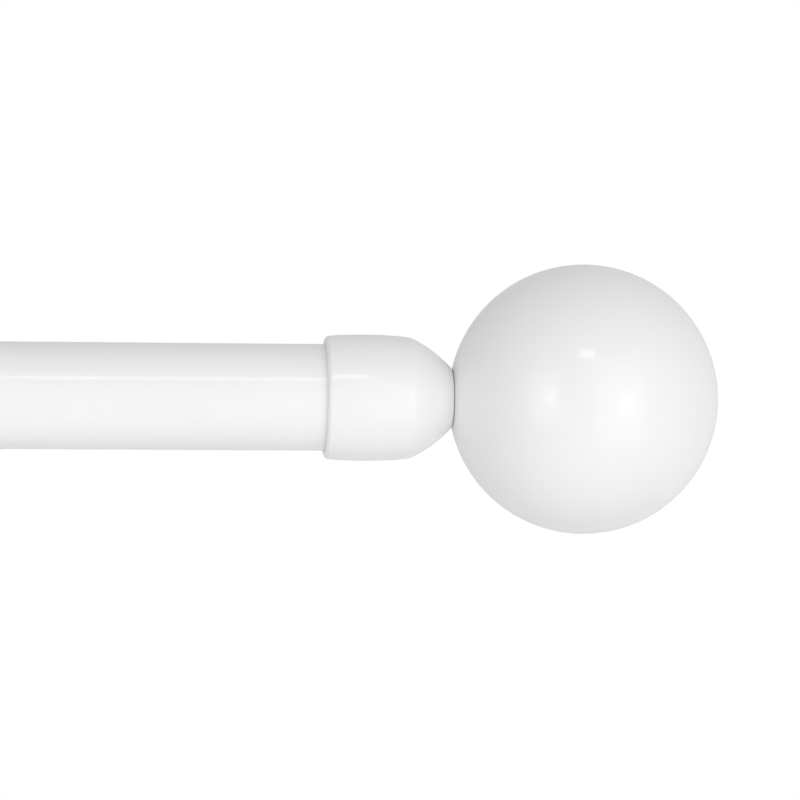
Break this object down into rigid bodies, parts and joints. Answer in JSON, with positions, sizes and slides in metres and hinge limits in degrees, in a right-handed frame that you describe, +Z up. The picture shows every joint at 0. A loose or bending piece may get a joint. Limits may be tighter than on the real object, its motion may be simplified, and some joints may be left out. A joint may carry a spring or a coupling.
{
  "type": "curtain rod with brackets",
  "caption": "Telescopic white curtain rod with a ball finial on a domed collar at each end, resting in the open cups of adjustable wall brackets.",
  "frame": {"origin": "centre of the right-hand wall plate's back face, midway between its wall screw holes", "axes": "+X along the rod towards its thick end, +Y into the wall, +Z up"},
  "size_m": [0.973, 0.1223, 0.0776],
  "materials": {
    "tube_enamel": "semi-gloss white enamel on steel tube",
    "finial_enamel": "semi-gloss white, moulded",
    "bracket_enamel": "semi-gloss white enamel on steel and die-cast zinc",
    "knob_plastic": "moulded white plastic, fluted",
    "nylon": "natural nylon",
    "zinc_steel": "bright zinc-plated steel",
    "brass": "turned brass"
  },
  "bodies": {
    "wall": {"wall_plate_right": "bracket_enamel", "plate_screw_right": "zinc_steel", "arm_sleeve_right": "bracket_enamel", "wall_plate_left": "bracket_enamel", "plate_screw_left": "zinc_steel", "arm_sleeve_left": "bracket_enamel"},
    "rod": {"outer_tube": "tube_enamel", "tube_bush": "nylon"},
    "inner": {"inner_tube": "tube_enamel", "guide_plug": "nylon", "end_adapter": "nylon"},
    "arm_right": {"arm_bar_right": "bracket_enamel", "cup_right": "bracket_enamel", "cup_bolt_right": "zinc_steel"},
    "finial_right": {"collar_right": "finial_enamel", "captive_nut_right": "zinc_steel", "grub_screw_right": "zinc_steel"},
    "finial_stud_right": {"stud_right": "zinc_steel"},
    "finial_ball_right": {"ball_right": "finial_enamel", "ball_insert_right": "brass"},
    "rod_screw_shank_right": {"rod_screw_right": "zinc_steel"},
    "rod_screw_knob_right": {"rod_knob_right": "knob_plastic"},
    "arm_screw_shank_right": {"arm_screw_right": "zinc_steel"},
    "arm_screw_knob_right": {"arm_knob_right": "knob_plastic"},
    "arm_left": {"arm_bar_left": "bracket_enamel", "cup_left": "bracket_enamel", "cup_bolt_left": "zinc_steel"},
    "finial_left": {"collar_left": "finial_enamel", "captive_nut_left": "zinc_steel", "grub_screw_left": "zinc_steel"},
    "finial_stud_left": {"stud_left": "zinc_steel"},
    "finial_ball_left": {"ball_left": "finial_enamel", "ball_insert_left": "brass"},
    "rod_screw_shank_left": {"rod_screw_left": "zinc_steel"},
    "rod_screw_knob_left": {"rod_knob_left": "knob_plastic"},
    "arm_screw_shank_left": {"arm_screw_left": "zinc_steel"},
    "arm_screw_knob_left": {"arm_knob_left": "knob_plastic"}
  },
  "joints": [
    {"name": "arm_slide_right", "type": "slide", "parent": "wall", "child": "arm_right", "axis": [0, -1, 0], "range_m": [-0.012, 0.016]},
    {"name": "arm_slide_left", "type": "slide", "parent": "wall", "child": "arm_left", "axis": [0, -1, 0], "range_m": [-0.012, 0.016]},
    {"name": "rod_lift", "type": "slide", "parent": "arm_right", "child": "rod", "axis": [0, 0, 1], "range_m": [0, 0.05]},
    {"name": "rod_extend", "type": "slide", "parent": "rod", "child": "inner", "axis": [-1, 0, 0], "range_m": [-0.1, 0.403]},
    {"name": "finial_pull_right", "type": "slide", "parent": "rod", "child": "finial_right", "axis": [1, 0, 0], "range_m": [0, 0.04]},
    {"name": "ball_right_feed", "type": "slide", "parent": "finial_right", "child": "finial_stud_right", "axis": [1, 0, 0], "range_m": [0, 0.007]},
    {"name": "ball_right_turn", "type": "hinge", "parent": "finial_stud_right", "child": "finial_ball_right", "pos_m": [0.115, -0.09, 0], "axis": [1, 0, 0], "range_deg": [0, 2520]},
    {"name": "rod_screw_right_feed", "type": "slide", "parent": "arm_right", "child": "rod_screw_shank_right", "axis": [0, -1, 0], "range_m": [0, 0.0032]},
    {"name": "rod_screw_right_turn", "type": "hinge", "parent": "rod_screw_shank_right", "child": "rod_screw_knob_right", "pos_m": [0, -0.09, 0], "axis": [0, -1, 0], "range_deg": [0, 1440]},
    {"name": "arm_screw_right_feed", "type": "slide", "parent": "wall", "child": "arm_screw_shank_right", "axis": [0, 0, -1], "range_m": [0, 0.0032]},
    {"name": "arm_screw_right_turn", "type": "hinge", "parent": "arm_screw_shank_right", "child": "arm_screw_knob_right", "pos_m": [0, -0.047, 0], "axis": [0, 0, -1], "range_deg": [0, 1440]},
    {"name": "finial_pull_left", "type": "slide", "parent": "inner", "child": "finial_left", "axis": [-1, 0, 0], "range_m": [0, 0.04]},
    {"name": "ball_left_feed", "type": "slide", "parent": "finial_left", "child": "finial_stud_left", "axis": [-1, 0, 0], "range_m": [0, 0.007]},
    {"name": "ball_left_turn", "type": "hinge", "parent": "finial_stud_left", "child": "finial_ball_left", "pos_m": [-0.669, -0.09, 0], "axis": [-1, 0, 0], "range_deg": [0, 2520]},
    {"name": "rod_screw_left_feed", "type": "slide", "parent": "arm_left", "child": "rod_screw_shank_left", "axis": [0, -1, 0], "range_m": [0, 0.0032]},
    {"name": "rod_screw_left_turn", "type": "hinge", "parent": "rod_screw_shank_left", "child": "rod_screw_knob_left", "pos_m": [-0.554, -0.09, 0.0016], "axis": [0, -1, 0], "range_deg": [0, 1440]},
    {"name": "arm_screw_left_feed", "type": "slide", "parent": "wall", "child": "arm_screw_shank_left", "axis": [0, 0, -1], "range_m": [0, 0.0032]},
    {"name": "arm_screw_left_turn", "type": "hinge", "parent": "arm_screw_shank_left", "child": "arm_screw_knob_left", "pos_m": [-0.554, -0.047, 0.0016], "axis": [0, 0, -1], "range_deg": [0, 1440]}
  ],
  "couplings": [
    {"joint": "arm_slide_left", "follows": "arm_slide_right", "ratio": 1},
    {"joint": "ball_right_turn", "follows": "ball_right_feed", "rad_per_m": 6283.2},
    {"joint": "rod_screw_right_turn", "follows": "rod_screw_right_feed", "rad_per_m": 7854},
    {"joint": "arm_screw_right_turn", "follows": "arm_screw_right_feed", "rad_per_m": 7854},
    {"joint": "ball_left_turn", "follows": "ball_left_feed", "rad_per_m": 6283.2},
    {"joint": "rod_screw_left_turn", "follows": "rod_screw_left_feed", "rad_per_m": 7854},
    {"joint": "arm_screw_left_turn", "follows": "arm_screw_left_feed", "rad_per_m": 7854}
  ]
}
